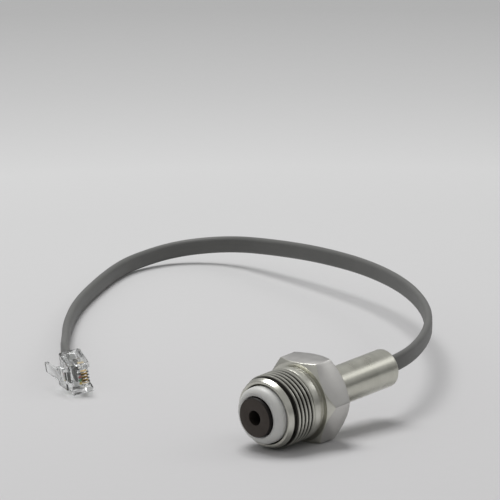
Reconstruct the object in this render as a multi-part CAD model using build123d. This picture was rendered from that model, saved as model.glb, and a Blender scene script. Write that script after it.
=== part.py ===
from build123d import *
from math import atan, cos, radians, sin, tan
import os

# A threaded pressure sensor with a flat lead and a clear modular plug, lying on a table as it
# comes to rest: on the front edge of its hexagon and the last crest of its thread, with the
# lead looping round behind it to the plug. Millimetres, +Z up, the table at z = 0, the sensor's
# nose towards -X. The origin is on the table, under the middle of the sensor without its lead.

# Hexagon and thread. Along the sensor's axis, 0 is the hexagon's front face and + is the nose.
across_flats = 24.0
hex_thickness = 9.3
hex_chamfer_angle = 39.0
hex_face_diameter = 23.7
thread_major = 22.0
thread_pitch = 1.5
thread_turns = 7
thread_end_chamfer = 0.45
collar_diameter = 20.8
collar_width = 1.3
nose_face_diameter = 19.7
nose_length = 2.25

# Bores of the body
nose_bore_diameter = 17.8
nose_bore_depth = 6.35
nose_bore_chamfer = 0.25
step_thickness = 8.0
sleeve_socket_depth = 4.0

# Sensing stem: a tip that shows at the nose, a shank through the body and a threaded tail
tip_diameter = 11.8
tip_length = 10.4
tip_chamfer = 0.25
tail_under_sleeve = 2.7
shank_shoulder = 0.6
tail_length = 4.2
port_diameter = 4.4
port_depth = 11.4
port_chamfer = 0.2
diaphragm = 0.6
back_cup_diameter = 5.0
groove_depth = 1.3
groove_width = 1.8
groove_offset = 3.0
bore_clearance = 0.05

# White seal ring round the tip, seated on the step of the nose bore
ring_fit = 0.35
ring_clearance = 0.2
ring_stand_out = 2.9
ring_round = 2.0
ring_inner_round = 0.3
ring_edge_land = 0.1

# O-ring and stem nut
o_ring_section = 1.3
nut_thickness = 3.0
nut_clearance = 0.06
nut_slot_width = 1.6
nut_slot_depth = 1.0

# Rear sleeve, which holds the circuit board, the potting and the grommet
sleeve_diameter = 11.5
sleeve_wall = 1.0
sleeve_length = 33.1
sleeve_fit = 0.03
sleeve_end_round = 0.8

# Inside the sleeve
gauge_diameter = 4.0
gauge_thickness = 0.15
board_length = 17.5
board_thickness = 1.0
board_clearance = 0.06
board_to_nut = 3.0
gauge_wire_diameter = 0.3
gauge_wire_pitch = 0.8
gauge_wire_lap = 2.0
chip_length = 5.0
chip_width = 4.0
chip_height = 1.2
chip_from_board_front = 5.5
capacitor_length = 1.6
capacitor_width = 0.8
capacitor_height = 0.8
capacitor_pitch = 2.2
capacitor_from_chip = 2.0
potting_length = 3.0
grommet_length = 4.0
grommet_recess = 0.35
filler_clearance = 0.04

# Flat lead: a ribbon with round edges, standing on its edge
lead_width = 5.2
lead_thickness = 2.4
lead_slot_clearance = 0.06
lead_start = 29.6
core_count = 4
core_pitch = 1.02
core_diameter = 0.92
core_bend_radius = 0.36
core_lap = 1.6

# Clear modular plug. Its own frame: x to the nose, z to the contacts, origin mid back face.
plug_length = 11.7
plug_width = 9.65
plug_height = 6.6
plug_edge_round = 0.5
plug_nose_chamfer = 0.35
contact_positions = 6
slot_width = 0.62
slot_length = 5.9
slot_floor = 0.15
contact_well_depth = 0.7
contact_well_wall = 1.1
cavity_width = 7.0
cavity_height = 3.5
cavity_depth = 6.0
cavity_flare = 0.6
core_height = -0.1
core_bore_clearance = 0.03
core_end_wall = 1.0
crimp_start = 1.2
crimp_length = 3.4
crimp_width = 5.2
crimp_bar_height = 1.5
crimp_bar_gap = 0.08
latch_length = 15.0
latch_lift = 4.0
latch_root_thickness = 1.4
latch_tip_thickness = 0.9
latch_wide = 6.0
latch_narrow = 3.2
latch_shoulder = 6.6
blade_thickness = 0.36
blade_length = 4.6
blade_from_nose = 0.7
blade_below_top = 1.0
tooth_length = 0.7
tooth_depth = 0.45
blade_fit = 0.02

# Where the plug lies: middle of its nose, compass heading, nose down, and lean towards its latch
plug_nose_x = -13.05
plug_nose_y = 83.7
plug_heading = -122.0
plug_nose_down = 8.0
plug_lean = 11.0

# Route of the lead's middle line, from its inner end in the sleeve to its inner end in the plug
lead_route = [
    (19.407, 0.0, 14.515),
    (36.57, 0.0, 16.011),
    (59.65, 14.0, 15.6),
    (81.65, 29.5, 14.3),
    (102.15, 49.5, 13.4),
    (118.65, 73.0, 12.9),
    (131.15, 99.0, 12.3),
    (138.15, 125.0, 11.2),
    (142.65, 148.0, 9.2),
    (144.95, 170.0, 6.8),
    (135.95, 184.4, 4.9),
    (120.65, 189.1, 3.5),
    (103.65, 181.9, 2.8),
    (81.65, 168.5, 2.65),
    (59.15, 154.0, 2.65),
    (38.15, 137.5, 3.2),
    (19.15, 121.5, 5.2),
    (0.42, 105.3, 8.9),
    (-9.8, 88.91, 6.17),
]

tail_diameter = sleeve_diameter - tail_under_sleeve
shank_diameter = tail_diameter + 2 * shank_shoulder
groove_diameter = shank_diameter - 2 * groove_depth
ring_diameter = nose_bore_diameter - 2 * ring_fit
ring_bore_diameter = tip_diameter + 2 * ring_clearance
ring_wall = (ring_diameter - ring_bore_diameter) / 2

thread_start = collar_width
thread_end = thread_start + thread_turns * thread_pitch
body_front = thread_end + nose_length
step_front = body_front - nose_bore_depth
step_back = step_front - step_thickness
tip_front = step_front + tip_length
port_floor = tip_front - port_depth
gauge_back = port_floor - diaphragm - gauge_thickness
board_front = step_back - nut_thickness - board_to_nut
board_back = board_front - board_length
sleeve_back = -hex_thickness + sleeve_socket_depth - sleeve_length
hex_flat_front = (across_flats - hex_face_diameter) / 2 * tan(radians(hex_chamfer_angle))

# The sensor tips forward until the thread's front crest meets the table
rest_tilt = atan((across_flats - thread_major) / 2 / (thread_end - thread_end_chamfer + hex_flat_front))
axis_height = across_flats / 2 * cos(rest_tilt) - hex_flat_front * sin(rest_tilt)
nose_reach = tip_front * cos(rest_tilt) + (tip_diameter / 2 - tip_chamfer) * sin(rest_tilt)
tail_reach = -sleeve_back * cos(rest_tilt) + (sleeve_diameter / 2 - sleeve_end_round) * sin(rest_tilt)
hex_front_x = (nose_reach - tail_reach) / 2
sensor_frame = Plane(
    origin=(hex_front_x, 0, axis_height),
    x_dir=(0, 1, 0),
    z_dir=(-cos(rest_tilt), 0, -sin(rest_tilt)),
)


def cylinder(diameter, low, high):
    """Solid rod on the sensor's axis from low to high."""
    return Pos(0, 0, low) * Cylinder(
        diameter / 2, high - low, align=(Align.CENTER, Align.CENTER, Align.MIN)
    )


def turned(profile):
    """Solid of revolution about the axis, from (radius, height) points."""
    outline = Polyline(*[(radius, 0, height) for radius, height in profile], close=True)
    return revolve(make_face(outline), Axis.Z)


def ribbon_slot(low, high):
    """Straight hole that the flat lead passes through, along the sensor's axis."""
    slot = SlotOverall(
        lead_width + 2 * lead_slot_clearance, lead_thickness + 2 * lead_slot_clearance, rotation=90
    )
    return extrude(Pos(0, 0, low) * slot, high - low)


def rear_edge(part, diameter):
    """The circular edges of one diameter at the sleeve's back end."""
    ring = [
        edge
        for edge in part.edges().filter_by(GeomType.CIRCLE)
        if abs(edge.radius - diameter / 2) < 1e-3 and abs(edge.center().Z - sleeve_back) < 1e-3
    ]
    return ring


def make_threaded_body():
    corner = across_flats / 3**0.5
    cut = (corner - hex_face_diameter / 2) * tan(radians(hex_chamfer_angle))
    prism = extrude(
        Pos(0, 0, -hex_thickness) * RegularPolygon(across_flats / 2, 6, major_radius=False),
        hex_thickness,
    )
    chamfered = turned([
        (0, -hex_thickness),
        (hex_face_diameter / 2, -hex_thickness),
        (corner, -hex_thickness + cut),
        (corner, -cut),
        (hex_face_diameter / 2, 0),
        (0, 0),
    ])
    crest = thread_major / 2
    front = turned([
        (0, -1),
        (collar_diameter / 2, -1),
        (collar_diameter / 2, thread_start),
        (crest - thread_end_chamfer, thread_start),
        (crest, thread_start + thread_end_chamfer),
        (crest, thread_end - thread_end_chamfer),
        (nose_face_diameter / 2, body_front),
        (0, body_front),
    ])
    bore = nose_bore_diameter / 2
    bores = turned([
        (0, body_front + 1),
        (bore + nose_bore_chamfer + 1, body_front + 1),
        (bore, body_front - nose_bore_chamfer),
        (bore, step_front),
        (shank_diameter / 2 + bore_clearance, step_front),
        (shank_diameter / 2 + bore_clearance, step_back),
        (sleeve_diameter / 2 - sleeve_wall / 3, step_back),
        (sleeve_diameter / 2 - sleeve_wall / 3, -hex_thickness + sleeve_socket_depth),
        (sleeve_diameter / 2 + sleeve_fit, -hex_thickness + sleeve_socket_depth),
        (sleeve_diameter / 2 + sleeve_fit, -hex_thickness - 1),
        (0, -hex_thickness - 1),
    ])
    return (prism & chamfered) + front - bores


def make_rear_sleeve():
    tube = cylinder(sleeve_diameter, sleeve_back, sleeve_back + sleeve_length)
    tube = fillet(rear_edge(tube, sleeve_diameter), sleeve_end_round)
    return tube - cylinder(sleeve_diameter - 2 * sleeve_wall, sleeve_back - 1, 0)


def make_seal_ring():
    front = body_front + ring_stand_out
    ring = cylinder(ring_diameter, step_front, front)
    ring -= cylinder(ring_bore_diameter, step_front - 1, front + 1)
    rims = ring.edges().filter_by(GeomType.CIRCLE).group_by(Axis.Z)[-1].sort_by(SortBy.RADIUS)
    ring = fillet(rims[-1], min(ring_round, ring_wall - ring_inner_round - ring_edge_land))
    rims = ring.edges().filter_by(GeomType.CIRCLE).group_by(Axis.Z)[-1].sort_by(SortBy.RADIUS)
    return fillet(rims[0], ring_inner_round)


def make_sensing_stem():
    tip = tip_diameter / 2
    port = port_diameter / 2
    shank = shank_diameter / 2
    tail = tail_diameter / 2
    groove_front = step_front - groove_offset
    return turned([
        (0, port_floor),
        (port, port_floor),
        (port, tip_front - port_chamfer),
        (port + port_chamfer, tip_front),
        (tip - tip_chamfer, tip_front),
        (tip, tip_front - tip_chamfer),
        (tip, step_front),
        (shank, step_front),
        (shank, groove_front),
        (groove_diameter / 2, groove_front),
        (groove_diameter / 2, groove_front - groove_width),
        (shank, groove_front - groove_width),
        (shank, step_back),
        (tail, step_back),
        (tail, step_back - tail_length),
        (back_cup_diameter / 2, step_back - tail_length),
        (back_cup_diameter / 2, port_floor - diaphragm),
        (0, port_floor - diaphragm),
    ])


def make_o_ring():
    groove_middle = step_front - groove_offset - groove_width / 2
    groove_centre = groove_diameter / 2 + o_ring_section / 2 + bore_clearance / 2
    return Pos(0, 0, groove_middle) * Torus(groove_centre, o_ring_section / 2)


def make_stem_nut():
    outer = sleeve_diameter - 2 * sleeve_wall / 3 - 2 * nut_clearance
    nut = cylinder(outer, step_back - nut_thickness, step_back)
    nut -= cylinder(tail_diameter + nut_clearance, step_back - nut_thickness - 1, step_back + 1)
    slot = Pos(0, 0, step_back - nut_thickness) * Box(outer + 1, nut_slot_width, 2 * nut_slot_depth)
    return nut - slot


def make_strain_gauge():
    return cylinder(gauge_diameter, gauge_back, gauge_back + gauge_thickness)


def make_circuit_board():
    bore = sleeve_diameter / 2 - sleeve_wall
    chord = 2 * (bore**2 - (board_thickness / 2) ** 2) ** 0.5 - 2 * board_clearance
    return Pos(0, 0, board_front - board_length / 2) * Box(board_thickness, chord, board_length)


def make_gauge_wires():
    middle = board_thickness / 2 + gauge_wire_diameter / 2
    end = board_front - gauge_wire_lap
    wires = [
        Pos(middle, (place - 1.5) * gauge_wire_pitch, 0) * cylinder(gauge_wire_diameter, end, gauge_back)
        for place in range(4)
    ]
    return Compound(wires)


def on_board(height, width, length, across, behind_front):
    """A block soldered flat on the board's face."""
    return Pos(
        board_thickness / 2 + height / 2, across, board_front - behind_front - length / 2
    ) * Box(height, width, length)


def make_amplifier_chip():
    return on_board(chip_height, chip_width, chip_length, 0, chip_from_board_front)


def make_capacitors():
    behind = chip_from_board_front + chip_length + capacitor_from_chip
    return Compound([
        on_board(capacitor_height, capacitor_length, capacitor_width, place * capacitor_pitch, behind)
        for place in (-1, 0, 1)
    ])


def filler(low, high):
    """A plug that fills the sleeve round the flat lead."""
    bore = sleeve_diameter - 2 * sleeve_wall - 2 * filler_clearance
    return cylinder(bore, low, high) - ribbon_slot(low - 1, high + 1)


def make_cable_grommet():
    low = sleeve_back + grommet_recess
    return filler(low, low + grommet_length)


def make_potting():
    low = sleeve_back + grommet_recess + grommet_length
    return filler(low, low + potting_length)


def make_core(place):
    """One insulated core, from the flat lead's inner end onto the board's face."""
    across = (place - (core_count - 1) / 2) * core_pitch
    lift = board_thickness / 2 + core_diameter / 2 + blade_fit
    route = FilletPolyline(
        (0, across, -lead_start),
        (0, across, -lead_start + 0.9),
        (lift, across, board_back - 0.25),
        (lift, across, board_back + core_lap),
        radius=core_bend_radius,
    )
    section = Plane(origin=(0, across, -lead_start), z_dir=(0, 0, 1)) * Circle(core_diameter / 2)
    return sweep(section, path=route)


def make_lead():
    """The flat lead: straight runs joined by arcs as large as the runs allow."""
    points = [Vector(*point) for point in lead_route]
    radii = []
    for before, here, after in zip(points, points[1:], points[2:]):
        run_in = here - before
        run_out = after - here
        shorter = min(run_in.length, run_out.length)
        radii.append(0.45 * shorter / tan(radians(run_in.get_angle(run_out)) / 2))
    print("lead radii", [round(radius, 1) for radius in radii])
    route = FilletPolyline(*points, radius=radii)
    start = Plane(origin=points[0], x_dir=(0, 1, 0), z_dir=points[1] - points[0])
    section = start * SlotOverall(lead_width, lead_thickness, rotation=90)
    lead = sweep(section, path=route)
    area = section.area
    print("lead length", round(route.length, 1), "volume over section times length",
          round(lead.volume / (area * route.length), 4))
    return lead


def plug_frame(plug):
    """Where the plug lies, set down until its lowest point meets the table."""
    heading = radians(plug_heading)
    down = radians(plug_nose_down)
    lean = radians(plug_lean)
    forward = Vector(cos(heading) * cos(down), sin(heading) * cos(down), -sin(down))
    side = Vector(-sin(heading), cos(heading), 0)
    upward = forward.cross(side)
    contacts = side * cos(lean) + upward * sin(lean)
    back = Vector(plug_nose_x, plug_nose_y, 0) - forward * plug_length
    above = Plane(origin=back, x_dir=forward, z_dir=contacts)
    lowest = (above.location * plug).bounding_box().min.Z
    return Plane(origin=back - Vector(0, 0, lowest), x_dir=forward, z_dir=contacts)


def plug_box(x_low, x_high, width, z_low, z_high, y=0.0):
    """Block in the plug's own frame."""
    return Pos((x_low + x_high) / 2, y, (z_low + z_high) / 2) * Box(x_high - x_low, width, z_high - z_low)


def core_across(place):
    return (place - (core_count - 1) / 2) * core_pitch


def make_latch():
    """The spring tab: from the nose back past the plug, narrowing behind its shoulders."""
    floor = -plug_height / 2
    root = plug_length - plug_nose_chamfer
    tip = plug_length - latch_length
    profile = Plane.XZ * make_face(Polyline(
        (root, floor + 0.6),
        (root, floor),
        (root - 0.9, floor - latch_root_thickness * 0.8),
        (tip, floor - latch_lift),
        (tip, floor - latch_lift + latch_tip_thickness),
        (root - 2.2, floor),
        (root - 2.2, floor + 0.6),
        close=True,
    ))
    side = extrude(profile, plug_width / 2, both=True)
    shoulder = plug_length - latch_shoulder
    wide = plug_box(shoulder, plug_length, latch_wide, floor - plug_height, floor + 1)
    narrow = plug_box(tip - 1, shoulder + 1, latch_narrow, floor - plug_height, floor + 1)
    return side & (wide + narrow)


def make_plug_body():
    top = plug_height / 2
    block = plug_box(0, plug_length, plug_width, -top, top)
    block = fillet(block.edges().filter_by(Axis.X), plug_edge_round)
    block = chamfer(block.faces().sort_by(Axis.X)[-1].edges(), plug_nose_chamfer)
    cavity = plug_box(-1, cavity_depth, cavity_width, -cavity_height / 2, cavity_height / 2)
    mouth = loft([
        Plane.YZ * Rectangle(cavity_width + 2 * cavity_flare, cavity_height + 2 * cavity_flare),
        Plane.YZ.offset(cavity_flare) * Rectangle(cavity_width, cavity_height),
    ])
    block -= cavity + mouth
    well_low = plug_length - slot_length - contact_well_wall
    well_width = contact_positions * core_pitch + 0.4
    block -= plug_box(well_low, plug_length + 1, well_width, top - contact_well_depth, top + 1)
    for place in range(contact_positions):
        across = (place - (contact_positions - 1) / 2) * core_pitch
        block -= plug_box(plug_length - slot_length, plug_length + 1, slot_width, slot_floor, top, y=across)
    bore = core_diameter / 2 + core_bore_clearance
    for place in range(core_count):
        rod = Plane.YZ.offset(cavity_depth - 1) * Pos(core_across(place), core_height) * Circle(bore)
        block -= extrude(rod, plug_length - core_end_wall - cavity_depth + 1)
    block -= plug_box(crimp_start, crimp_start + crimp_length, crimp_width, -top - 1, 0)
    reach = lead_thickness / 2 + (lead_width - lead_thickness) / 2 * sin(radians(plug_lean))
    bar_top = -reach - crimp_bar_gap
    bar_profile = Plane.XZ * make_face(Polyline(
        (crimp_start + crimp_length + 0.2, bar_top - 0.15),
        (crimp_start + crimp_length + 0.2, bar_top - 0.75),
        (crimp_start + 1.0, bar_top - crimp_bar_height),
        (crimp_start + 0.4, bar_top - 0.2),
        (crimp_start + 1.0, bar_top),
        close=True,
    ))
    bar = extrude(bar_profile, crimp_width / 2 - 0.3, both=True)
    return block + bar + make_latch()


def blade_solid(place, grow=0.0):
    """One insulation-piercing contact, with two teeth in its core."""
    nose = plug_length - blade_from_nose
    tail = nose - blade_length
    top = plug_height / 2 - blade_below_top
    base = core_height + core_diameter / 2 + blade_fit
    tooth_tip = base - tooth_depth - blade_fit
    width = blade_thickness + 2 * grow
    across = core_across(place)
    blade = plug_box(tail, nose, width, base - grow, top, y=across)
    for tooth in (tail + 0.6, tail + 2.2):
        blade += plug_box(tooth - grow, tooth + tooth_length + grow, width, tooth_tip - grow, top, y=across)
    return blade


def make_blade(place):
    return blade_solid(place)


def make_plug_core(place):
    """A core's end in the plug, with the blade's teeth through its insulation."""
    start = plug_length - blade_from_nose - blade_length - 0.3
    rod = Plane.YZ.offset(start) * Pos(core_across(place), core_height) * Circle(core_diameter / 2)
    core = extrude(rod, plug_length - core_end_wall - 0.25 - start)
    return core - blade_solid(place, grow=blade_fit)


core_colours = ["black", "red", "green", "yellow"]

sensor_pieces = {
    "threaded_body": make_threaded_body(),
    "rear_sleeve": make_rear_sleeve(),
    "seal_ring": make_seal_ring(),
    "sensing_stem": make_sensing_stem(),
    "stem_o_ring": make_o_ring(),
    "stem_nut": make_stem_nut(),
    "strain_gauge": make_strain_gauge(),
    "gauge_wires": make_gauge_wires(),
    "circuit_board": make_circuit_board(),
    "amplifier_chip": make_amplifier_chip(),
    "board_capacitors": make_capacitors(),
    "potting_plug": make_potting(),
    "cable_grommet": make_cable_grommet(),
}
for place, colour in enumerate(core_colours):
    sensor_pieces["board_core_" + colour] = make_core(place)

plug_pieces = {"plug_body": make_plug_body()}
for place, colour in enumerate(core_colours):
    plug_pieces["plug_core_" + colour] = make_plug_core(place)
    plug_pieces["contact_blade_" + str(place + 1)] = make_blade(place)

parts = {name: sensor_frame.location * piece for name, piece in sensor_pieces.items()}
parts["cable"] = make_lead()
plug_place = plug_frame(plug_pieces["plug_body"])
for name, piece in plug_pieces.items():
    parts[name] = plug_place.location * piece

os.makedirs("parts", exist_ok=True)
for name, piece in parts.items():
    export_step(piece, "parts/" + name + ".step")
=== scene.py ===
# %% [markdown]
# # A threaded pressure sensor with a flat lead and a clear modular plug
#
# The sensor lies on a pale table. A turned steel body with a hexagon and a fine thread holds a
# brown-grey sensing stem in an off-white seal ring. A plain steel sleeve behind it holds the
# electronics, and a flat grey lead leaves the sleeve, loops round behind and ends in a clear plug.
#
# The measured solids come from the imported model, in metres. What the eye meets first is modelled
# again here with finer shape: rounded edges, a real thread and a lead that bends smoothly.

# %% Load the measured frame
import math

import bmesh
import bpy
from mathutils import Matrix, Vector


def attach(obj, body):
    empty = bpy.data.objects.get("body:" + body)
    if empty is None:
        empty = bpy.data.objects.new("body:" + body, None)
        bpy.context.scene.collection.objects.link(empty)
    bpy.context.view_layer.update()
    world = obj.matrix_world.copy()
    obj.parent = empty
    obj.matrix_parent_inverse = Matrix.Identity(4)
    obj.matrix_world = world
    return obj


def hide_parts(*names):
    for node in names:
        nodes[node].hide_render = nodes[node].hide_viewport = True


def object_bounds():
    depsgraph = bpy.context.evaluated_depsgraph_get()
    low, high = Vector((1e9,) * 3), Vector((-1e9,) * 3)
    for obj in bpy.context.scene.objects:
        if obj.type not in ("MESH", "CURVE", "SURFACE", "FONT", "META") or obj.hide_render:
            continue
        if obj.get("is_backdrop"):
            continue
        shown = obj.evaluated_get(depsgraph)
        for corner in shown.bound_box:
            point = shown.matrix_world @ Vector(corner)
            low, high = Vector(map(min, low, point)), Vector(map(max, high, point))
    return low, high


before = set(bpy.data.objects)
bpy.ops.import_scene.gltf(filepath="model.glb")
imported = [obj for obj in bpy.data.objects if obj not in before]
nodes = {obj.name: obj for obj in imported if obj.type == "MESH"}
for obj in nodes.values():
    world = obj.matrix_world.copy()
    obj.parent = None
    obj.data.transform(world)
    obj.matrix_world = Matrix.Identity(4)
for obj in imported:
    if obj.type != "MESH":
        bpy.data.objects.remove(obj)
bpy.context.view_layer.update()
scene = bpy.context.scene
scene.view_settings.view_transform = "Standard"
MM = 0.001
print("measured nodes:", len(nodes))

# %% [markdown]
# ## The sensor's own frame
#
# Everything turned on the lathe shares one axis. The sensor rests on the front edge of its
# hexagon and on its thread where the lead-in cone starts, so that axis dips by about five degrees.
# Pieces could be drawn upright and turned afterwards, but an object has to stay unturned for the
# export, so the turn goes into the mesh. `sensor_home` takes a point given by its distance from
# the axis and its station along it, in millimetres, to where it lies in the scene. Station 0 is
# the hexagon's front face and the nose is at positive stations.

# %% Where the sensor lies
HEX_FRONT = Vector((-10.0813, 0.0, 11.9441))
REST_TILT = math.radians(4.9820)
axis_dir = Vector((-math.cos(REST_TILT), 0, -math.sin(REST_TILT)))
side_dir = Vector((0, 1, 0))
down_dir = axis_dir.cross(side_dir)
turn = Matrix((side_dir, down_dir, axis_dir)).transposed().to_4x4()
sensor_frame = Matrix.Translation(HEX_FRONT * MM) @ turn
sensor_home = sensor_frame @ Matrix.Scale(MM, 4)
print("the axis dips by", round(math.degrees(REST_TILT), 2), "degrees")

# %% [markdown]
# ## The camera
#
# A long lens keeps the proportions calm, as in a catalogue picture: from more than two metres
# away the sensor is nearly in parallel view. The camera looks over the sensor's nose and across
# the loop of the lead, a little from above.

# %% Set up the camera
CAMERA_PLACE = (-1.66903, -1.5134, 0.56987)
CAMERA_LOOK = Vector((0.7163, 0.6614, -0.2227))
camera_data = bpy.data.cameras.new("long_lens")
camera_data.sensor_width = 36
camera_data.lens = 576
camera_data.clip_end = 60
camera = bpy.data.objects.new("long_lens", camera_data)
scene.collection.objects.link(camera)
camera.location = CAMERA_PLACE
camera.rotation_euler = CAMERA_LOOK.to_track_quat("-Z", "Y").to_euler()
scene.camera = camera
print("the camera stands", round(Vector(CAMERA_PLACE).length, 2), "m away")

# %% [markdown]
# ## Helpers for shapes
#
# A piece is drawn in a bmesh, tidied, shaded smooth between its edges and handed to the frame.
# Lathe work is one outline in a half plane, its corners rounded while it is still a line, and
# then spun round the axis. Rounding the corners first gives clean rings and costs nothing.

# %% Turn a bmesh into a piece
MERGE_MM = 1e-4
MERGE_M = 1e-7


def make_piece(name, shape, finishes, replaced=(), home=None, smooth_below=40):
    """Shapes with a home are drawn in millimetres in the sensor's frame, the others in metres."""
    bmesh.ops.remove_doubles(shape, verts=shape.verts, dist=MERGE_MM if home else MERGE_M)
    bmesh.ops.recalc_face_normals(shape, faces=shape.faces)
    mesh = bpy.data.meshes.new(name)
    shape.to_mesh(mesh)
    shape.free()
    if home:
        mesh.transform(home)
    mesh.shade_smooth()
    mesh.set_sharp_from_angle(angle=math.radians(smooth_below))
    piece = bpy.data.objects.new(name, mesh)
    scene.collection.objects.link(piece)
    for finish in finishes:
        mesh.materials.append(finish)
    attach(piece, "root")
    if replaced:
        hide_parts(*replaced)
    print(name, "has", len(mesh.polygons), "faces")
    return piece


# %% Draw an outline and spin it
ROUND_STEPS = 3
BIG_ROUND = 0.5
LATHE_STEPS = 144


def draw_outline(shape, points, closed=False):
    """Points are (radius, station) or (radius, station, corner round)."""
    corners = [shape.verts.new((point[0], 0, point[1])) for point in points]
    pairs = list(zip(corners, corners[1:]))
    if closed:
        pairs.append((corners[-1], corners[0]))
    for pair in pairs:
        shape.edges.new(pair)
    for corner, point in zip(corners, points):
        if len(point) > 2:
            bmesh.ops.bevel(
                shape, geom=[corner], offset=point[2], offset_type="OFFSET", affect="VERTICES",
                segments=ROUND_STEPS if point[2] < BIG_ROUND else 3 * ROUND_STEPS,
                profile=0.5, material=-1,
            )


def spin_outline(shape):
    bmesh.ops.spin(
        shape, geom=shape.verts[:] + shape.edges[:], cent=(0, 0, 0), axis=(0, 0, 1),
        dvec=(0, 0, 0), angle=2 * math.pi, steps=LATHE_STEPS, use_merge=True,
    )
    bmesh.ops.remove_doubles(shape, verts=shape.verts, dist=MERGE_MM)


def turned(name, points, finishes, replaced, closed=False):
    shape = bmesh.new()
    draw_outline(shape, points, closed)
    spin_outline(shape)
    make_piece(name, shape, finishes, replaced, sensor_home)


# %% [markdown]
# ## Helpers for finishes
#
# A finish is a Principled shader with a few nodes before it. `Reading` wraps one output socket,
# so that shader maths can be written as sums: `1 - mask * 0.3` adds its Math nodes. Every
# other node goes in through `Recipe.node`. The same trees could be drawn by hand in the editor,
# but written as sums they stay short enough to read at a glance.

# %% A socket that does sums
class Reading:
    def __init__(self, recipe, socket):
        self.recipe = recipe
        self.socket = socket

    def beside(self, output):
        """Another output of the same node."""
        return Reading(self.recipe, self.socket.node.outputs[output])

    def maths(self, operation, *values):
        return self.recipe.node("ShaderNodeMath", {"operation": operation}, values)

    def __add__(self, other):
        return self.maths("ADD", self, other)

    def __sub__(self, other):
        return self.maths("SUBTRACT", self, other)

    def __rsub__(self, other):
        return self.maths("SUBTRACT", other, self)

    def __mul__(self, other):
        return self.maths("MULTIPLY", self, other)

    def __truediv__(self, other):
        return self.maths("DIVIDE", self, other)

    __radd__ = __add__
    __rmul__ = __mul__


# %% A tree of nodes, and the nodes that most finishes use
class Recipe:
    def __init__(self, tree):
        self.tree = tree

    def fill(self, node, inputs):
        pairs = inputs.items() if isinstance(inputs, dict) else enumerate(inputs)
        for name, value in pairs:
            if isinstance(value, Reading):
                self.tree.links.new(value.socket, node.inputs[name])
            else:
                node.inputs[name].default_value = value

    def node(self, kind, settings=(), inputs=(), output=0):
        made = self.tree.nodes.new(kind)
        for name, value in dict(settings).items():
            if name == "stops":
                set_stops(made.color_ramp, value)
            else:
                setattr(made, name, value)
        self.fill(made, inputs)
        return Reading(self, made.outputs[output])

    def spot(self, home=None):
        """Object coordinates, or the same in a part's own frame."""
        spot = self.node("ShaderNodeTexCoord", output="Object")
        if home is None:
            return spot
        place = {
            "Vector": spot, "Location": tuple(home.translation), "Rotation": tuple(home.to_euler())
        }
        return self.node("ShaderNodeMapping", {"vector_type": "TEXTURE"}, place)

    def stretch(self, vector, factors):
        return self.node("ShaderNodeVectorMath", {"operation": "MULTIPLY"}, [vector, factors])

    def grain(self, vector, size, detail=2.0, roughness=0.5):
        """Noise from 0 to 1, with blotches about `size` metres across."""
        inputs = {"Vector": vector, "Scale": 1 / size, "Detail": detail, "Roughness": roughness}
        return self.node("ShaderNodeTexNoise", (), inputs)

    def remap(self, value, low, high, to_low=0.0, to_high=1.0):
        limits = [value, low, high, to_low, to_high]
        return self.node("ShaderNodeMapRange", {"clamp": True}, limits)

    def blend(self, factor, first, second):
        """A Mix node set to colour: its sockets 6 and 7 and its output 2 are the colour ones."""
        colours = {0: factor, 6: first, 7: second}
        return self.node("ShaderNodeMix", {"data_type": "RGBA"}, colours, 2)

    def ramp(self, value, stops):
        return self.node("ShaderNodeValToRGB", {"stops": stops}, [value])

    def relief(self, height, depth):
        inputs = {"Strength": 1.0, "Distance": depth, "Height": height}
        return self.node("ShaderNodeBump", (), inputs)


def set_stops(ramp, stops):
    while len(ramp.elements) > 1:
        ramp.elements.remove(ramp.elements[-1])
    for place, (position, colour) in enumerate(stops):
        element = ramp.elements[0] if place == 0 else ramp.elements.new(position)
        element.position = position
        element.color = (*colour, 1) if len(colour) == 3 else colour


def grey(level):
    return (level, level, level, 1)


class Finish(Recipe):
    """A material with one Principled shader; constants go straight onto its sockets."""

    def __init__(self, name, constants):
        self.material = bpy.data.materials.new(name)
        self.material.use_nodes = True
        super().__init__(self.material.node_tree)
        self.shader = self.tree.nodes["Principled BSDF"]
        self.fill(self.shader, constants)

    def feed(self, inputs):
        self.fill(self.shader, inputs)
        print("finish", self.material.name, "has", len(self.tree.nodes), "nodes")
        return self.material


# %% [markdown]
# ## The flat lead
#
# The real lead is a ribbon of soft grey vinyl over four cores, 5.2 by 2.4 mm, with round edges.
# It leaves the sleeve standing on its edge and stays that way all round its loop, because a
# ribbon bends easily only across its flat side. A NURBS curve with a few control points gives
# the smooth line of a springy lead. A bevelled curve would roll over in the bends, so the section
# is drawn once and extruded from point to point along that line, always upright. Near the plug
# it leans a little with the plug's slot.

# %% The line of the lead
LEAD_WIDTH = 5.2
LEAD_THICKNESS = 2.4
lead_route = [
    (0.026281, 0.0, 0.015114),
    (0.03657, 0.0, 0.016011),
    (0.0602, 0.0134, 0.0152),
    (0.0814, 0.0295, 0.0142),
    (0.1018, 0.0498, 0.0132),
    (0.11865, 0.073, 0.0129),
    (0.13115, 0.099, 0.0123),
    (0.13815, 0.125, 0.0112),
    (0.14265, 0.148, 0.0092),
    (0.14495, 0.17, 0.0068),
    (0.1353, 0.1839, 0.0047),
    (0.118, 0.1861, 0.003),
    (0.1034, 0.1812, 0.0027),
    (0.0828, 0.1703, 0.00265),
    (0.0608, 0.157, 0.00265),
    (0.039, 0.1399, 0.0029),
    (0.0192, 0.1213, 0.0046),
    (-0.0019, 0.1015, 0.0083),
    (-0.0098, 0.08891, 0.00617),
]
line = bpy.data.curves.new("lead_line", "CURVE")
line.dimensions = "3D"
spline = line.splines.new("NURBS")
spline.points.add(len(lead_route) - 1)
for control, point in zip(spline.points, lead_route):
    control.co = (*point, 1)
spline.order_u = 3
spline.use_endpoint_u = True
spline.resolution_u = 14
line_object = bpy.data.objects.new("lead_line", line)
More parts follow.
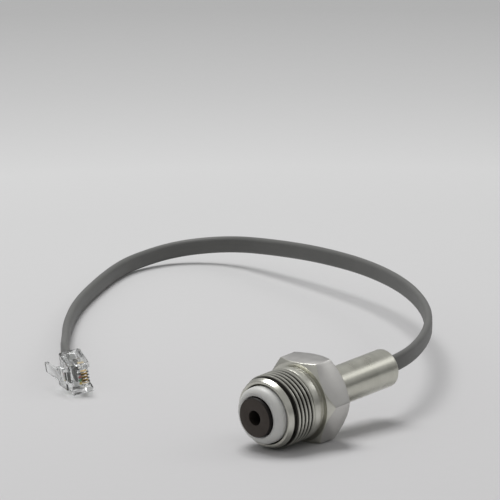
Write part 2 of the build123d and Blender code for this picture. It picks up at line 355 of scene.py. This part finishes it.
line_mesh = bpy.data.meshes.new_from_object(line_object)
lead_path = [vertex.co.copy() for vertex in line_mesh.vertices]
bpy.data.objects.remove(line_object)

# %% [markdown]
# The ribbon's finish is satin vinyl: a quiet mid grey, with a fine pebble from the extruder and
# slightly polished long streaks. A plain grey would do from afar, but looks like paint close up.
# The streaks follow the ribbon, so they read its UV map, where u is the distance along the lead
# and v the distance round its section.

# %% Finish: grey vinyl
vinyl = Finish("lead_grey", {"Specular IOR Level": 0.35})
run = vinyl.node("ShaderNodeUVMap", {"uv_map": "along"})
streaks = vinyl.grain(vinyl.stretch(run, (0.04, 1, 1)), 0.0011, 3)
mottle = vinyl.grain(vinyl.spot(), 0.006, 3)
pebble = vinyl.grain(vinyl.spot(), 0.00035, 2)
lead_grey = vinyl.feed({
    "Base Color": vinyl.blend(
        mottle * 0.5 + streaks * 0.5, (0.105, 0.106, 0.101, 1), (0.15, 0.15, 0.144, 1)
    ),
    "Roughness": 0.42 + streaks * 0.16,
    "Normal": vinyl.relief(pebble * 0.6 + streaks * 0.8, 0.00002),
})

# %% Where each section of the ribbon stands
PLUG_LEAN = math.radians(11)
LEAN_OVER = 0.03


def upright_frame(place):
    """A section's frame: x through the ribbon's thickness, y up its width, z along."""
    before = lead_path[max(place - 1, 0)]
    after = lead_path[min(place + 1, len(lead_path) - 1)]
    along = (after - before).normalized()
    across = Vector((0, 0, 1)).cross(along).normalized()
    up = along.cross(across)
    to_plug = (lead_path[-1] - lead_path[place]).length
    lean = PLUG_LEAN * max(0, 1 - to_plug / LEAN_OVER)
    matrix = Matrix((across, up, along)).transposed().to_4x4()
    return Matrix.Translation(lead_path[place]) @ matrix @ Matrix.Rotation(lean, 4, "Z")


# %% [markdown]
# The section is a circle drawn out to a flat with round edges. Its flat sides swell over the four
# cores by a few hundredths of a millimetre, which shows as faint long lines in a low light.

# %% Draw the ribbon's section
ROUND_EDGE_STEPS = 24
FLAT_CUTS = 7
CORE_SPACING = 1.02
CORE_SWELL = 0.03
shape = bmesh.new()
half_flat = (LEAD_WIDTH - LEAD_THICKNESS) / 2 * MM
circle = bmesh.ops.create_circle(
    shape, cap_ends=False, radius=LEAD_THICKNESS / 2 * MM, segments=ROUND_EDGE_STEPS
)
for vertex in circle["verts"]:
    if abs(vertex.co.y) > 1e-9:
        vertex.co.y += math.copysign(half_flat, vertex.co.y)
bmesh.ops.subdivide_edges(
    shape, edges=[edge for edge in shape.edges if edge.calc_length() > half_flat], cuts=FLAT_CUTS
)
for vertex in shape.verts:
    if abs(vertex.co.y) < half_flat * 1.15:
        swell = math.cos(vertex.co.y / (CORE_SPACING * MM) * 2 * math.pi + math.pi)
        vertex.co.x += math.copysign(CORE_SWELL * MM * swell, vertex.co.x)
ring_size = len(shape.verts)
print("points round the section:", ring_size)

# %% Extrude the ribbon along its line
first_ring = ring_edges = shape.edges[:]
bmesh.ops.transform(shape, matrix=upright_frame(0), verts=shape.verts[:])
for place in range(1, len(lead_path)):
    made = bmesh.ops.extrude_edge_only(shape, edges=ring_edges)["geom"]
    ring_verts = [item for item in made if isinstance(item, bmesh.types.BMVert)]
    ring_edges = [item for item in made if isinstance(item, bmesh.types.BMEdge)]
    step = upright_frame(place) @ upright_frame(place - 1).inverted()
    bmesh.ops.transform(shape, matrix=step, verts=ring_verts)
for end_ring in (first_ring, ring_edges):
    bmesh.ops.contextual_create(shape, geom=end_ring)
print("ribbon rings", len(lead_path), "faces", len(shape.faces))

# %% Give the ribbon its UV map
SECTION_RADIUS = 2.0
uv_layer = shape.loops.layers.uv.new("along")
travelled = [0.0]
for a, b in zip(lead_path, lead_path[1:]):
    travelled.append(travelled[-1] + (b - a).length)
shape.verts.ensure_lookup_table()
shape.verts.index_update()
for face in shape.faces:
    for loop in face.loops:
        ring = loop.vert.index // ring_size
        section = upright_frame(ring).inverted() @ loop.vert.co
        turn_round = math.atan2(section.x, section.y)
        loop[uv_layer].uv = (travelled[ring], turn_round * SECTION_RADIUS * MM)
lead = make_piece("flat_lead", shape, [lead_grey], ["cable"])

# %% [markdown]
# ## The body's sizes
#
# The turned body's radii and stations come from the measured model, in millimetres. They are
# named once here, because its outline, its thread and its finish all read them.

# %% Sizes of the threaded body
ACROSS_FLATS = 24.0
HEX_THICKNESS = 9.3
HEX_CHAMFER = math.tan(math.radians(39))
HEX_FACE_RADIUS = 11.85
COLLAR_RADIUS = 10.4
COLLAR_FRONT = 1.3
PITCH = 1.5
CREST_RADIUS = 11.0
ROOT_RADIUS = 10.08
SHANK_RADIUS = CREST_RADIUS - 0.02
SHANK_FRONT = 3.7
GROOVES_END = 12.2
GROOVE_WALL = 0.3
CONE_START = 11.35
CONE_SLOPE = 0.426
BODY_FRONT = 14.05
BORE_RADIUS = 8.9
BORE_CHAMFER = 0.25
STEP_FRONT = 7.7
STEP_BACK = -0.3
STEM_HOLE_RADIUS = 5.05
NUT_ROOM_RADIUS = 5.42
SOCKET_FRONT = -5.3
SOCKET_RADIUS = 5.78
print("the body is", round(BODY_FRONT + HEX_THICKNESS, 2), "mm long")

# %% [markdown]
# ## Turned steel
#
# The body, its thread and the sleeve are bright machined steel. A lathe leaves fine rings, so the
# pattern depends only on the station along the axis and the distance from it: both come from the
# sensor's own frame. A picture of scratches would have to be wrapped round every piece, and would
# stretch on the cone. The rings shift the roughness a little and tilt the surface by microns,
# which draws highlights out into streaks round the part.
#
# On the real sensor the thread's grooves and the nose bore look nearly black. Shadow alone
# doesn't make them so here, so a mask on the distance from the axis paints shade and dark
# reflection into the steel's colour there as well.

# %% Where a point lies on the lathe
def lathe_readings(recipe):
    """A point's place, its distance from the axis, its station, and the last two as rings."""
    place = recipe.spot(sensor_frame)
    across = recipe.node("ShaderNodeSeparateXYZ", (), [place], "X")
    station = across.beside("Z")
    flat = recipe.node("ShaderNodeCombineXYZ", (), [across, across.beside("Y"), 0.0])
    radius = recipe.node("ShaderNodeVectorMath", {"operation": "LENGTH"}, [flat], "Value")
    rings = recipe.node("ShaderNodeCombineXYZ", (), [radius, 0.0, station])
    return place, radius, station, rings


# %% Finish: turned steel
# Painted shade and dark reflection for the thread's grooves and the nose bore.
PAINTED_GROOVE_SHADE = (0.04, 0.038, 0.034, 1)


def turned_steel(name, colours, roughness, ring_depth, painted_shade_from=None):
    steel = Finish(name, {"Metallic": 1.0})
    place, radius, station, rings = lathe_readings(steel)
    coarse = steel.grain(rings, 0.8 * MM, 2)
    fine = steel.grain(rings, 0.18 * MM, 3)
    smudge = steel.grain(place, 6 * MM, 3)
    tone = steel.remap(smudge * 0.8 + coarse * 0.2, 0.35, 0.65)
    colour = steel.blend(tone, *colours)
    if painted_shade_from:
        colour = steel.blend(painted_shade_from(steel, radius / MM, station / MM), colour, PAINTED_GROOVE_SHADE)
    return steel.feed({
        "Base Color": colour,
        "Roughness": roughness + (coarse - 0.5) * 0.06 + (smudge - 0.5) * 0.16,
        "Normal": steel.relief(fine * 0.7 + coarse * 0.5, ring_depth),
    })


def painted_groove_shade(steel, radius, station):
    """Painted shade, 1 deep in the thread's grooves and nose bore, 0 on crests and outer faces."""
    deep = steel.remap(radius, CREST_RADIUS - 0.5, CREST_RADIUS - 0.12, 1.0, 0.0)
    past_shank = steel.remap(station, SHANK_FRONT, SHANK_FRONT + 0.3)
    before_cone = steel.remap(station, GROOVES_END, GROOVES_END + GROOVE_WALL, 1.0, 0.0)
    in_bore = steel.remap(radius, BORE_RADIUS + 0.02, BORE_RADIUS + 0.1, 1.0, 0.0)
    past_step = steel.remap(station, STEP_FRONT - 0.3, STEP_FRONT + 0.1)
    return steel.remap(deep * past_shank * before_cone + in_bore * past_step, 0.0, 1.0)


turned_finish = turned_steel(
    "turned_steel", ((0.56, 0.555, 0.5, 1), (0.68, 0.675, 0.61, 1)), 0.31, 0.000008, painted_groove_shade
)
sleeve_finish = turned_steel(
    "sleeve_steel", ((0.55, 0.545, 0.48, 1), (0.64, 0.635, 0.565, 1)), 0.3, 0.000003
)
nut_finish = turned_steel(
    "nut_steel", ((0.5, 0.49, 0.47, 1), (0.6, 0.59, 0.57, 1)), 0.3, 0.00001
)

# %% [markdown]
# The hexagon's flats are not turned: they keep the satin of the drawn bar, with faint straight
# streaks along it. The noise is the same as before, squeezed along the axis in the sensor's frame.

# %% Finish: drawn flats
flats = Finish("drawn_flats", {"Metallic": 1.0})
place = flats.spot(sensor_frame)
drawn = flats.grain(flats.stretch(place, (1, 1, 0.06)), 0.0005, 3)
cloud = flats.grain(place, 0.004, 3)
flat_finish = flats.feed({
    "Base Color": flats.blend(cloud, (0.54, 0.53, 0.51, 1), (0.64, 0.63, 0.61, 1)),
    "Roughness": 0.26 + drawn * 0.12 + (cloud - 0.5) * 0.16,
    "Normal": flats.relief(drawn, 0.000015),
})

# %% [markdown]
# ## The threaded body
#
# The body is one turning: nose with its bore, lead-in cone, thread, plain shank, collar and
# hexagon. Its round part is a single outline, spun. The hexagon grows out of the front rim that
# the spin leaves open: each new vertex moves out to the hexagon's side at its own angle, and back
# along the 39 degree cone that chamfers the corners. Two more rings close it to the back rim. A
# boolean cut of a prism and a cone would give the same shape with a ragged mesh; this way the
# curved chamfer lines are drawn exactly.

# %% Spin the round part of the body
def cone_radius(station):
    """The lead-in cone runs from the last crest down to the nose."""
    return CREST_RADIUS - CONE_SLOPE * (station - CONE_START)


body = bmesh.new()
draw_outline(body, [
    (HEX_FACE_RADIUS, 0),
    (COLLAR_RADIUS, 0, 0.12),
    (COLLAR_RADIUS, COLLAR_FRONT, 0.08),
    (CREST_RADIUS - 0.2, COLLAR_FRONT),
    (SHANK_RADIUS, COLLAR_FRONT + 0.2, 0.05),
    (SHANK_RADIUS, SHANK_FRONT, 0.05),
    (ROOT_RADIUS, SHANK_FRONT + 0.55),
    (ROOT_RADIUS, GROOVES_END, 0.06),
    (cone_radius(GROOVES_END + GROOVE_WALL), GROOVES_END + GROOVE_WALL, 0.05),
    (cone_radius(BODY_FRONT), BODY_FRONT, 0.1),
    (BORE_RADIUS + BORE_CHAMFER, BODY_FRONT, 0.06),
    (BORE_RADIUS, BODY_FRONT - BORE_CHAMFER),
    (BORE_RADIUS, STEP_FRONT),
    (STEM_HOLE_RADIUS, STEP_FRONT),
    (STEM_HOLE_RADIUS, STEP_BACK),
    (NUT_ROOM_RADIUS, STEP_BACK),
    (NUT_ROOM_RADIUS, SOCKET_FRONT),
    (SOCKET_RADIUS, SOCKET_FRONT),
    (SOCKET_RADIUS, -HEX_THICKNESS, 0.12),
    (HEX_FACE_RADIUS, -HEX_THICKNESS),
])
spin_outline(body)
rims = [edge for edge in body.edges if edge.is_boundary]
front_rim = [edge for edge in rims if abs(edge.verts[0].co.z) < 1e-4]
print("rim edges", len(rims), "of them in front", len(front_rim))


# %% Grow the hexagon between the two rims
EDGE_ROUND = 0.12
SHARP = math.radians(25)


def hexagon_reach(vertex):
    """Distance from the axis to the hexagon's side at this vertex's angle."""
    angle = math.atan2(vertex.co.y, vertex.co.x)
    from_flat = angle % math.radians(60) - math.radians(30)
    return ACROSS_FLATS / 2 / math.cos(from_flat)


def grow(edges, reach_of, station_of):
    """Extrude a ring, then set each new vertex's reach and station from its angle."""
    made = bmesh.ops.extrude_edge_only(body, edges=edges)["geom"]
    for vertex in [item for item in made if isinstance(item, bmesh.types.BMVert)]:
        to_side = hexagon_reach(vertex)
        around = Vector((vertex.co.x, vertex.co.y, 0)).normalized()
        station = station_of((to_side - HEX_FACE_RADIUS) * HEX_CHAMFER)
        vertex.co = around * reach_of(to_side) + Vector((0, 0, station))
    return [item for item in made if isinstance(item, bmesh.types.BMEdge)]


ring = grow(front_rim, lambda to_side: to_side, lambda drop: -drop)
ring = grow(ring, lambda to_side: to_side, lambda drop: drop - HEX_THICKNESS)
ring = grow(ring, lambda to_side: HEX_FACE_RADIUS, lambda drop: -HEX_THICKNESS)
bmesh.ops.remove_doubles(body, verts=body.verts, dist=1e-3)
bmesh.ops.recalc_face_normals(body, faces=body.faces)
hexagon_edges = [
    edge for edge in body.edges
    if len(edge.link_faces) == 2 and edge.calc_face_angle() > SHARP
    and min(Vector(vertex.co.xy).length for vertex in edge.verts) > HEX_FACE_RADIUS + 0.05
]
bmesh.ops.bevel(
    body, geom=hexagon_edges, offset=EDGE_ROUND, offset_type="OFFSET", affect="EDGES",
    segments=2, profile=0.5, material=-1, clamp_overlap=True,
)
print("hexagon edges rounded:", len(hexagon_edges))

# %% [markdown]
# The thread is an M22 by 1.5: a ridge with 60 degree flanks wound round the root cylinder. A
# bump in the finish could suggest it, but its crests break the outline, so it is real. Its
# section is drawn once, in a bmesh of its own, and spun with a lift for every step, which is what
# `dvec` is for. The ridge rises out of the root just before the plain shank and sinks back into
# it near the nose, and it is trimmed to the lead-in cone there, as a cut thread's crests are.

# %% Wind the thread
CREST_FLAT = PITCH / 8
CREST_BREAK = 0.03
SUNK = 0.12
RIDGE_START = 3.65
RIDGE_TURNS = 5.4
RUN_TURNS = 0.4
flank = (CREST_RADIUS - ROOT_RADIUS + SUNK) * math.tan(math.radians(30))
thread = bmesh.new()
section = [
    thread.verts.new((radius, 0, RIDGE_START + height))
    for radius, height in (
        (ROOT_RADIUS - SUNK, -CREST_FLAT / 2 - flank),
        (CREST_RADIUS - CREST_BREAK, -CREST_FLAT / 2 - 0.02),
        (CREST_RADIUS, -CREST_FLAT / 2 + 0.02),
        (CREST_RADIUS, CREST_FLAT / 2 - 0.02),
        (CREST_RADIUS - CREST_BREAK, CREST_FLAT / 2 + 0.02),
        (ROOT_RADIUS - SUNK, CREST_FLAT / 2 + flank),
    )
]
section_edges = [
    thread.edges.new((a, b)) for a, b in zip(section, section[1:] + section[:1])
]
thread.faces.new(section)
wound = bmesh.ops.spin(
    thread, geom=section + section_edges, cent=(0, 0, 0), axis=(0, 0, 1),
    dvec=(0, 0, PITCH / LATHE_STEPS), angle=2 * math.pi * RIDGE_TURNS,
    steps=round(RIDGE_TURNS * LATHE_STEPS), use_merge=False,
)["geom_last"]
last_section = [item for item in wound if isinstance(item, bmesh.types.BMEdge)]
bmesh.ops.contextual_create(thread, geom=last_section)
print("thread turns", RIDGE_TURNS, "vertices", len(thread.verts))

# %% Run the thread's ends out and join it to the body
low = ROOT_RADIUS - SUNK - 0.02
for vertex in thread.verts:
    radius = Vector(vertex.co.xy).length
    part_turn = math.atan2(vertex.co.y, vertex.co.x) / (2 * math.pi) % 1
    turns = round((vertex.co.z - RIDGE_START) / PITCH - part_turn) + part_turn
    to_end = min(turns, RIDGE_TURNS - turns)
    grown = low + (radius - low) * min(1, max(0, to_end / RUN_TURNS))
    trimmed = min(grown, max(low, cone_radius(vertex.co.z) - 0.02))
    vertex.co.xy = Vector(vertex.co.xy) * (trimmed / radius)
thread_mesh = bpy.data.meshes.new("thread_ridge")
thread.to_mesh(thread_mesh)
thread.free()
body.from_mesh(thread_mesh)
bpy.data.meshes.remove(thread_mesh)
print("the body and its thread have", len(body.faces), "faces")

# %% Give the flats their finish and hand the body over
EDGE_MARGIN = 0.1
for face in body.faces:
    face.normal_update()
    middle = face.calc_center_median()
    on_hexagon = EDGE_MARGIN - HEX_THICKNESS < middle.z < -EDGE_MARGIN
    outside = Vector(middle.xy).length > CREST_RADIUS + 0.4
    if on_hexagon and outside and abs(face.normal.z) < 0.2:
        face.material_index = 1
make_piece(
    "threaded_body_turning", body, [turned_finish, flat_finish],
    ["threaded_body"], sensor_home, 30,
)

# %% [markdown]
# ## Sleeve, seal ring and sensing stem
#
# Three more turnings. The sleeve is a tube with a well rounded rear end. The seal ring is
# moulded, with a large round on its front corner. The stem shows only its tip, with the port in
# its middle, but it is turned whole: shank, O-ring groove, threaded tail and thin diaphragm.

# %% Turn the sleeve
SLEEVE_RADIUS = 5.75
SLEEVE_BORE_RADIUS = 4.75
SLEEVE_BACK = -38.4
turned("rear_sleeve_tube", [
    (SLEEVE_RADIUS, SOCKET_FRONT),
    (SLEEVE_RADIUS, SLEEVE_BACK, 0.8),
    (SLEEVE_BORE_RADIUS, SLEEVE_BACK, 0.12),
    (SLEEVE_BORE_RADIUS, SOCKET_FRONT),
], [sleeve_finish], ["rear_sleeve"], closed=True)

# %% [markdown]
# The ring is an off-white plastic that lets a little light in, so its round corner glows softly
# instead of going grey. A touch of subsurface scattering does that; more would look like wax.

# %% Finish: off-white seal plastic
seal = Finish("seal_plastic", {
    "Subsurface Weight": 0.08, "Subsurface Radius": (0.002, 0.0018, 0.0014),
    "Specular IOR Level": 0.45,
})
place = seal.spot(sensor_frame)
cloud = seal.grain(place, 0.005, 3)
speck = seal.grain(place, 0.0004, 2)
seal_finish = seal.feed({
    "Base Color": seal.blend(cloud, (0.6, 0.6, 0.575, 1), (0.7, 0.7, 0.675, 1)),
    "Roughness": 0.34 + cloud * 0.12,
    "Normal": seal.relief(speck, 0.00001),
})

# %% Turn the seal ring
RING_FRONT = 16.95
RING_INNER_RADIUS = 6.1
RING_OUTER_RADIUS = 8.55
turned("seal_ring_moulding", [
    (RING_INNER_RADIUS, STEP_FRONT),
    (RING_INNER_RADIUS, RING_FRONT, 0.3),
    (RING_OUTER_RADIUS, RING_FRONT, 2.0),
    (RING_OUTER_RADIUS, STEP_FRONT),
], [seal_finish], ["seal_ring"], closed=True)

# %% [markdown]
# The tip is a dark, warm brown-grey metal with a dull face. Its lathe rings run round the port.
# The port is a real hole and falls into shadow by itself. Its wall and the tip's side look nearly
# black on the real one, so two masks on the distance from the axis paint shade on them as well.

# %% Finish: brown-grey tip
TIP_RADIUS = 5.9
PORT_RADIUS = 2.2
tip = Finish("tip_metal", {"Metallic": 0.35, "Specular IOR Level": 0.4})
place, radius, station, rings = lathe_readings(tip)
turning = tip.grain(rings, 0.3 * MM, 3)
patina = tip.grain(place, 2.5 * MM, 4, 0.6)
face_tone = tip.blend(
    patina * 0.7 + turning * 0.3, (0.042, 0.034, 0.028, 1), (0.078, 0.064, 0.055, 1)
)
# Painted shade: the tip's side wall and the port's wall are drawn nearly black.
side_painted_shade = tip.remap(radius / MM, TIP_RADIUS - 0.2, TIP_RADIUS - 0.05)
port_painted_shade = tip.remap(radius / MM, PORT_RADIUS - 0.05, PORT_RADIUS + 0.08, 1.0, 0.0)
tip_finish = tip.feed({
    "Base Color": tip.blend(side_painted_shade + port_painted_shade, face_tone, (0.008, 0.006, 0.005, 1)),
    "Roughness": 0.5 + turning * 0.15,
    "Normal": tip.relief(turning, 0.000012),
})

# %% Turn the sensing stem
TIP_FRONT = 18.1
PORT_FLOOR = 6.7
DIAPHRAGM_BACK = 6.1
SHANK = 5.0
GROOVE = 3.7
GROOVE_FRONT = 4.7
GROOVE_BACK = 2.9
TAIL = 4.4
TAIL_BACK = -4.5
TAIL_BORE = 2.5
turned("sensing_stem_turning", [
    (0, PORT_FLOOR),
    (PORT_RADIUS, PORT_FLOOR, 0.2),
    (PORT_RADIUS, TIP_FRONT, 0.16),
    (TIP_RADIUS, TIP_FRONT, 0.22),
    (TIP_RADIUS, STEP_FRONT, 0.1),
    (SHANK, STEP_FRONT),
    (SHANK, GROOVE_FRONT, 0.08),
    (GROOVE, GROOVE_FRONT),
    (GROOVE, GROOVE_BACK),
    (SHANK, GROOVE_BACK, 0.08),
    (SHANK, STEP_BACK),
    (TAIL, STEP_BACK),
    (TAIL, TAIL_BACK, 0.2),
    (TAIL_BORE, TAIL_BACK, 0.1),
    (TAIL_BORE, DIAPHRAGM_BACK),
    (0, DIAPHRAGM_BACK),
], [tip_finish], ["sensing_stem"])

# %% [markdown]
# ## The clear plug
#
# The plug is one clear moulding: block, contact slots, cable mouth, crimp window and latch tab.
# Its measured solid already has every opening, so a copy of that mesh is merged, its flat faces
# are joined up, and a Bevel modifier breaks the sharp edges. The small rounds matter most here:
# on clear plastic they are what catches the light and draws the outline.

# %% Finish: clear plastic
clear = Finish("clear_plastic", {
    "Base Color": (0.97, 0.98, 0.975, 1), "Transmission Weight": 1.0, "IOR": 1.58,
})
ripple = clear.grain(clear.spot(), 0.0015, 2)
clear.feed({"Roughness": 0.03 + ripple * 0.05, "Normal": clear.relief(ripple, 0.00002)})
in_shadow = clear.node("ShaderNodeLightPath", output="Is Shadow Ray")
see_through = clear.node("ShaderNodeBsdfTransparent", (), {"Color": (0.93, 0.94, 0.935, 1)})
shader_out = Reading(clear, clear.shader.outputs[0])
mixed = clear.node("ShaderNodeMixShader", (), [in_shadow * 0.8, shader_out, see_through])
clear.fill(clear.tree.nodes["Material Output"], {"Surface": mixed})

# %% Copy the plug and break its edges
BROKEN_EDGE = 0.08
plug = bmesh.new()
plug.from_mesh(nodes["plug_body"].data)
bmesh.ops.remove_doubles(plug, verts=plug.verts, dist=MERGE_M)
bmesh.ops.dissolve_limit(
    plug, angle_limit=math.radians(1), verts=plug.verts, edges=plug.edges, delimit={"NORMAL"}
)
plug_piece = make_piece(
    "clear_plug", plug, [clear.material], ["plug_body"], None, 20
)
edges = plug_piece.modifiers.new("broken_edges", "BEVEL")
edges.width = BROKEN_EDGE * MM
edges.segments = 2
edges.limit_method = "ANGLE"
edges.angle_limit = math.radians(30)

# %% [markdown]

# %% [markdown]
# ## Pieces kept from the measured model
#
# The small inner pieces are right as they are, so only their finishes are new: rubber, moulded
# epoxy, foil, ceramic, gold and insulation. They differ in colour and gloss more than in pattern,
# so one helper makes them all.

# %% Finishes: one base colour with a fine mottle
MICRON = 0.000001


def moulded(name, dark, light, roughness, mottle, relief, constants=()):
    """`mottle` is the blotches' size in millimetres and `relief` their depth in microns."""
    finish = Finish(name, dict(constants))
    cloud = finish.grain(finish.spot(), mottle * MM, 3)
    fine = finish.grain(finish.spot(), mottle / 8 * MM, 2)
    return finish.feed({
        "Base Color": finish.blend(cloud, (*dark, 1), (*light, 1)),
        "Roughness": roughness + (cloud - 0.5) * 0.2,
        "Normal": finish.relief(fine, relief * MICRON),
    })


metal = {"Metallic": 1.0}
inner_finishes = {
    "stem_nut": nut_finish,
    "stem_o_ring": moulded(
        "o_ring_rubber", (0.012, 0.012, 0.012), (0.028, 0.028, 0.027), 0.5, 0.9, 10
    ),
    "cable_grommet": moulded(
        "grommet_rubber", (0.012, 0.012, 0.013), (0.03, 0.03, 0.029), 0.6, 1.2, 20
    ),
    "strain_gauge": moulded(
        "gauge_film", (0.35, 0.2, 0.06), (0.5, 0.3, 0.1), 0.35, 0.8, 3
    ),
    "gauge_wires": moulded(
        "gauge_wire", (0.7, 0.42, 0.3), (0.85, 0.55, 0.42), 0.25, 0.6, 2, metal
    ),
    "amplifier_chip": moulded(
        "chip_epoxy", (0.012, 0.012, 0.013), (0.035, 0.035, 0.036), 0.55, 0.8, 6
    ),
    "board_capacitors": moulded(
        "capacitor_ceramic", (0.42, 0.28, 0.15), (0.55, 0.4, 0.24), 0.4, 0.5, 3
    ),
    "potting_plug": moulded(
        "potting_resin", (0.008, 0.008, 0.009), (0.02, 0.02, 0.022), 0.3, 2.0, 20
    ),
}

# %% Finishes: insulation and gold
insulation = {
    "black": ((0.012, 0.012, 0.012), (0.025, 0.025, 0.025)),
    "red": ((0.42, 0.02, 0.015), (0.58, 0.035, 0.025)),
    "green": ((0.01, 0.2, 0.04), (0.02, 0.32, 0.07)),
    "yellow": ((0.72, 0.5, 0.03), (0.85, 0.62, 0.06)),
}
for colour, tones in insulation.items():
    finish = moulded("core_" + colour, *tones, 0.38, 1.2, 6)
    inner_finishes["board_core_" + colour] = finish
    inner_finishes["plug_core_" + colour] = finish
gold = moulded("contact_gold", (0.75, 0.5, 0.16), (0.88, 0.64, 0.26), 0.24, 0.7, 3, metal)
for number in range(1, 5):
    inner_finishes[f"contact_blade_{number}"] = gold

# %% [markdown]
# The board's green comes from a lacquer over woven glass, so a fine brick pattern shades it and a
# thin clear coat lies over it.

# %% Finish: circuit board
board = Finish("board_green", {"Coat Weight": 0.4, "Coat Roughness": 0.15})
place = board.spot(sensor_frame)
weave = board.node("ShaderNodeTexBrick", {"offset": 0.5}, {
    "Vector": place, "Scale": 900.0, "Color1": (0.0, 0.0, 0.0, 1), "Color2": (1.0, 1.0, 1.0, 1),
    "Mortar": (0.4, 0.4, 0.4, 1), "Mortar Size": 0.06,
})
tint = board.grain(place, 0.003, 2)
inner_finishes["circuit_board"] = board.feed({
    "Base Color": board.blend(weave, (0.008, 0.09, 0.03, 1), (0.02, 0.17, 0.06, 1)),
    "Roughness": 0.3 + tint * 0.2,
    "Normal": board.relief(weave, 0.00001),
})

# %% Hand the finishes to the measured pieces
for name, finish in inner_finishes.items():
    mesh = nodes[name].data
    mesh.materials.clear()
    mesh.materials.append(finish)
print("finished measured pieces:", len(inner_finishes))
for name in nodes:
    if name not in inner_finishes:
        print("replaced in this scene:", name)

# %% [markdown]
# ## The table and the light
#
# The table is plain pale paper. Its colour is a ramp on the distance from the object that paints
# the light's falloff: lightest about 0.37 m out, a little darker near the object and much darker
# towards the back, so no lamp has to be dimmed for it. A broad soft panel hangs behind and above
# the sensor and lays its shadow towards the camera. A small one on the right draws the bright line
# along the sleeve. Together with the world they stay at a level where a colour renders about as it
# is written.
#
# Polished steel shows its surroundings, so the world matters as much as the lamps: an even grey
# overhead, darker towards the table on the room's side, and a pale backdrop behind the object.

# %% Lay the table
# The ramp below paints the light's falloff across the table; this is how far it reaches.
PAINTED_FALLOFF_REACH = 0.8
TABLE_REACH = 12
paper = Finish("pale_paper", {"Specular IOR Level": 0.2})
spread = paper.node("ShaderNodeVectorMath", {"operation": "LENGTH"}, [paper.spot()], "Value")
nap = paper.grain(paper.spot(), 0.004, 3)
table_finish = paper.feed({
    "Base Color": paper.ramp(spread / PAINTED_FALLOFF_REACH, [
        (0.0, (0.575, 0.57, 0.575)), (0.15, (0.588, 0.585, 0.588)), (0.38, grey(0.59)),
        (0.46, grey(0.605)), (0.52, grey(0.57)), (0.62, grey(0.512)), (0.8, grey(0.43)),
    ]),
    "Roughness": 0.6 + nap * 0.2,
})
table = bmesh.new()
bmesh.ops.create_grid(table, x_segments=4, y_segments=4, size=TABLE_REACH)
table_mesh = bpy.data.meshes.new("table")
table.to_mesh(table_mesh)
table.free()
table_mesh.materials.append(table_finish)
table_object = bpy.data.objects.new("table", table_mesh)
scene.collection.objects.link(table_object)
table_object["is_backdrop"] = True
print("the table reaches", TABLE_REACH, "m each way")

# %% Set the world's brightness
EVEN_GREY = grey(0.42)
BACKDROP_SIDE = (0.735, 0.678, 0)
world = bpy.data.worlds.new("light_tent")
world.use_nodes = True
scene.world = world
tent = Recipe(world.node_tree)
direction = tent.node("ShaderNodeTexCoord", output="Generated")
height = tent.node("ShaderNodeSeparateXYZ", (), [direction], "Z")
room_side = tent.ramp(height, [
    (0.0, grey(0.1)), (0.1, grey(0.14)), (0.22, grey(0.28)), (0.34, EVEN_GREY),
])
backdrop = tent.ramp(height, [
    (0.0, EVEN_GREY), (0.3, grey(0.36)), (0.6, grey(0.4)), (1.0, EVEN_GREY),
])
behind = tent.node(
    "ShaderNodeVectorMath", {"operation": "DOT_PRODUCT"}, [direction, BACKDROP_SIDE], "Value"
)
shade = tent.blend(tent.remap(behind, 0.3, 0.8), room_side, backdrop)
tent.fill(world.node_tree.nodes["Background"], {"Color": shade, "Strength": 1.0})
print("the world has", len(world.node_tree.nodes), "nodes")


# %% Hang the panels
def hang_panel(name, place, aim, size, power):
    light = bpy.data.lights.new(name, "AREA")
    light.shape = "RECTANGLE"
    light.size, light.size_y = size
    light.energy = power
    lamp = bpy.data.objects.new(name, light)
    scene.collection.objects.link(lamp)
    lamp.location = place
    lamp.rotation_euler = (Vector(aim) - Vector(place)).to_track_quat("-Z", "Y").to_euler()
    print(name, "gives", power, "W")


hang_panel("overhead_panel", (0.12, 0.42, 1.2), (0.05, 0.08, 0), (0.75, 0.65), 11.5)
hang_panel("window_panel", (0.96, -0.44, 0.79), (0.02, 0, 0.012), (0.55, 0.35), 0.75)

# %% [markdown]
# ## Hand over
#
# The last cell notes how large the measured model and the finished pieces are, taken together.

# %% Write the sizes
low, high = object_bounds()
print("finished pieces span", [round(b - a, 4) for a, b in zip(low, high)], "m")
